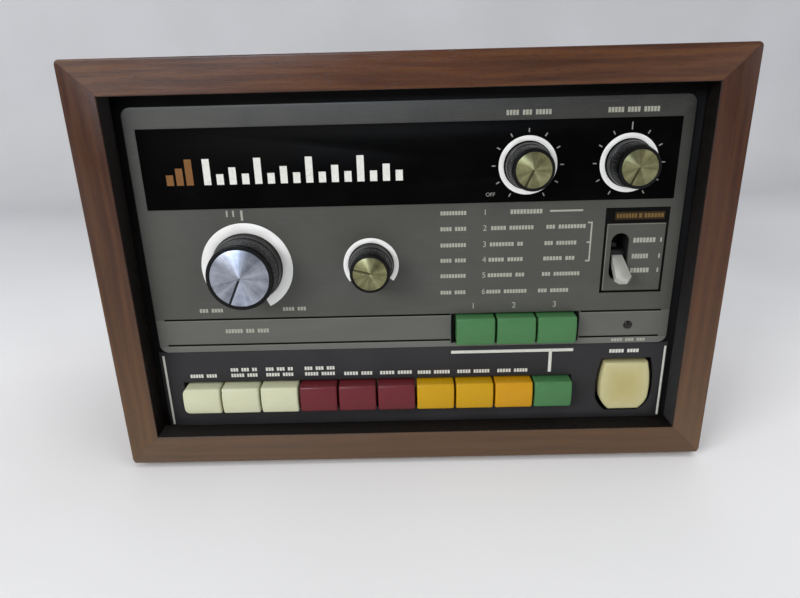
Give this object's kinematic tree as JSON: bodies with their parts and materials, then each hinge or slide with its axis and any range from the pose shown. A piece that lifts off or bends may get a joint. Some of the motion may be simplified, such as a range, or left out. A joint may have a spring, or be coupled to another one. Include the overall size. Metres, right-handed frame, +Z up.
{
  "type": "drum machine",
  "caption": "Table-top drum machine in a wooden case: rotary controls, rhythm keys, a start key, a lever switch and a lamp on a recessed panel.",
  "frame": {"origin": "middle of the footprint, on the surface that the feet stand on", "axes": "+X to the right seen from the front, +Y from the front to the back, +Z up"},
  "size_m": [0.28, 0.157, 0.191],
  "materials": {
    "walnut": "satin oiled veneer",
    "block_wood": "plain softwood",
    "foot_rubber": "matte",
    "steel": "zinc plated",
    "chassis_black": "matte black paint",
    "panel_grey": "satin grey lacquer",
    "key_plate_black": "satin black lacquer",
    "title_black": "satin black print",
    "ring_white": "gloss white",
    "knob_black": "gloss black",
    "disc_silver": "spun",
    "disc_gold": "spun, pale gold anodised",
    "shaft_metal": "turned",
    "nut_metal": "plated",
    "key_cream": "satin moulded",
    "key_dark_red": "satin moulded",
    "key_yellow": "satin moulded",
    "key_amber": "satin moulded",
    "key_green": "satin moulded",
    "start_cream": "satin moulded",
    "bracket_steel": "passivated",
    "switch_black": "moulded",
    "phenolic": "laminate",
    "pot_metal": "plated",
    "lever_metal": "satin",
    "lamp_red": "clear red, unlit",
    "socket_black": "moulded",
    "contact_brass": "plain",
    "core_steel": "varnished laminations",
    "winding": "enamelled copper wire under tape",
    "board_brown": "phenolic board",
    "chip_black": "moulded",
    "capacitor_blue": "sleeved can"
  },
  "bodies": {
    "case": {"top_board": "walnut", "bottom_board": "walnut", "left_board": "walnut", "right_board": "walnut", "glue_blocks": "block_wood", "feet": "foot_rubber", "case_screws": "steel", "rear_screws": "steel", "chassis": "chassis_black", "rear_panel": "chassis_black", "fascia": "panel_grey", "key_plate": "key_plate_black", "title_plate": "title_black", "dial_rings": "ring_white", "potentiometers": "pot_metal", "selector_switch": "phenolic", "control_nuts": "nut_metal", "bank_frames": "bracket_steel", "key_switches": "switch_black", "start_switch": "switch_black", "lever_switch": "switch_black", "lamp": "lamp_red", "jacks": "socket_black", "jack_nuts": "nut_metal", "mains_inlet": "socket_black", "inlet_pins": "contact_brass", "fuse_holder": "socket_black", "transformer_core": "core_steel", "transformer_coil": "winding", "main_board": "board_brown", "standoffs": "contact_brass", "chips": "chip_black", "capacitors": "capacitor_blue"},
    "tempo": {"tempo_knob": "knob_black", "tempo_disc": "disc_silver", "tempo_shaft": "shaft_metal"},
    "selector": {"selector_knob": "knob_black", "selector_disc": "disc_gold", "selector_shaft": "shaft_metal"},
    "volume": {"volume_knob": "knob_black", "volume_disc": "disc_gold", "volume_shaft": "shaft_metal"},
    "balance": {"balance_knob": "knob_black", "balance_disc": "disc_gold", "balance_shaft": "shaft_metal"},
    "low_key_1": {"low_key_1": "key_cream"},
    "low_key_2": {"low_key_2": "key_cream"},
    "low_key_3": {"low_key_3": "key_cream"},
    "low_key_4": {"low_key_4": "key_dark_red"},
    "low_key_5": {"low_key_5": "key_dark_red"},
    "low_key_6": {"low_key_6": "key_dark_red"},
    "low_key_7": {"low_key_7": "key_yellow"},
    "low_key_8": {"low_key_8": "key_yellow"},
    "low_key_9": {"low_key_9": "key_amber"},
    "low_key_10": {"low_key_10": "key_green"},
    "high_key_1": {"high_key_1": "key_green"},
    "high_key_2": {"high_key_2": "key_green"},
    "high_key_3": {"high_key_3": "key_green"},
    "start_key": {"start_key": "start_cream"},
    "lever": {"lever": "lever_metal"}
  },
  "joints": [
    {"name": "tempo_turn", "type": "hinge", "parent": "case", "child": "tempo", "pos_m": [-0.0745, -0.0625, 0.1005], "axis": [0, 1, 0], "range_deg": [0, 310]},
    {"name": "selector_turn", "type": "hinge", "parent": "case", "child": "selector", "pos_m": [-0.018, -0.0625, 0.1005], "axis": [0, 1, 0], "range_deg": [0, 150]},
    {"name": "volume_turn", "type": "hinge", "parent": "case", "child": "volume", "pos_m": [0.0512, -0.0629, 0.1438], "axis": [0, 1, 0], "range_deg": [0, 310]},
    {"name": "balance_turn", "type": "hinge", "parent": "case", "child": "balance", "pos_m": [0.0946, -0.0629, 0.1438], "axis": [0, 1, 0], "range_deg": [0, 310]},
    {"name": "low_key_1_press", "type": "slide", "parent": "case", "child": "low_key_1", "axis": [0, 1, 0], "range_m": [0, 0.0035], "stiffness_N_per_m": 150},
    {"name": "low_key_2_press", "type": "slide", "parent": "case", "child": "low_key_2", "axis": [0, 1, 0], "range_m": [0, 0.0035], "stiffness_N_per_m": 150},
    {"name": "low_key_3_press", "type": "slide", "parent": "case", "child": "low_key_3", "axis": [0, 1, 0], "range_m": [0, 0.0035], "stiffness_N_per_m": 150},
    {"name": "low_key_4_press", "type": "slide", "parent": "case", "child": "low_key_4", "axis": [0, 1, 0], "range_m": [0, 0.0035], "stiffness_N_per_m": 150},
    {"name": "low_key_5_press", "type": "slide", "parent": "case", "child": "low_key_5", "axis": [0, 1, 0], "range_m": [0, 0.0035], "stiffness_N_per_m": 150},
    {"name": "low_key_6_press", "type": "slide", "parent": "case", "child": "low_key_6", "axis": [0, 1, 0], "range_m": [0, 0.0035], "stiffness_N_per_m": 150},
    {"name": "low_key_7_press", "type": "slide", "parent": "case", "child": "low_key_7", "axis": [0, 1, 0], "range_m": [0, 0.0035], "stiffness_N_per_m": 150},
    {"name": "low_key_8_press", "type": "slide", "parent": "case", "child": "low_key_8", "axis": [0, 1, 0], "range_m": [0, 0.0035], "stiffness_N_per_m": 150},
    {"name": "low_key_9_press", "type": "slide", "parent": "case", "child": "low_key_9", "axis": [0, 1, 0], "range_m": [0, 0.0035], "stiffness_N_per_m": 150},
    {"name": "low_key_10_press", "type": "slide", "parent": "case", "child": "low_key_10", "axis": [0, 1, 0], "range_m": [0, 0.0035], "stiffness_N_per_m": 150},
    {"name": "high_key_1_press", "type": "slide", "parent": "case", "child": "high_key_1", "axis": [0, 1, 0], "range_m": [0, 0.0035], "stiffness_N_per_m": 150},
    {"name": "high_key_2_press", "type": "slide", "parent": "case", "child": "high_key_2", "axis": [0, 1, 0], "range_m": [0, 0.0035], "stiffness_N_per_m": 150},
    {"name": "high_key_3_press", "type": "slide", "parent": "case", "child": "high_key_3", "axis": [0, 1, 0], "range_m": [0, 0.0035], "stiffness_N_per_m": 150},
    {"name": "start_key_press", "type": "slide", "parent": "case", "child": "start_key", "axis": [0, 1, 0], "range_m": [0, 0.0035], "stiffness_N_per_m": 150},
    {"name": "lever_tilt", "type": "hinge", "parent": "case", "child": "lever", "pos_m": [0.0945, -0.056, 0.1015], "axis": [-1, 0, 0], "range_deg": [0, 58]}
  ]
}
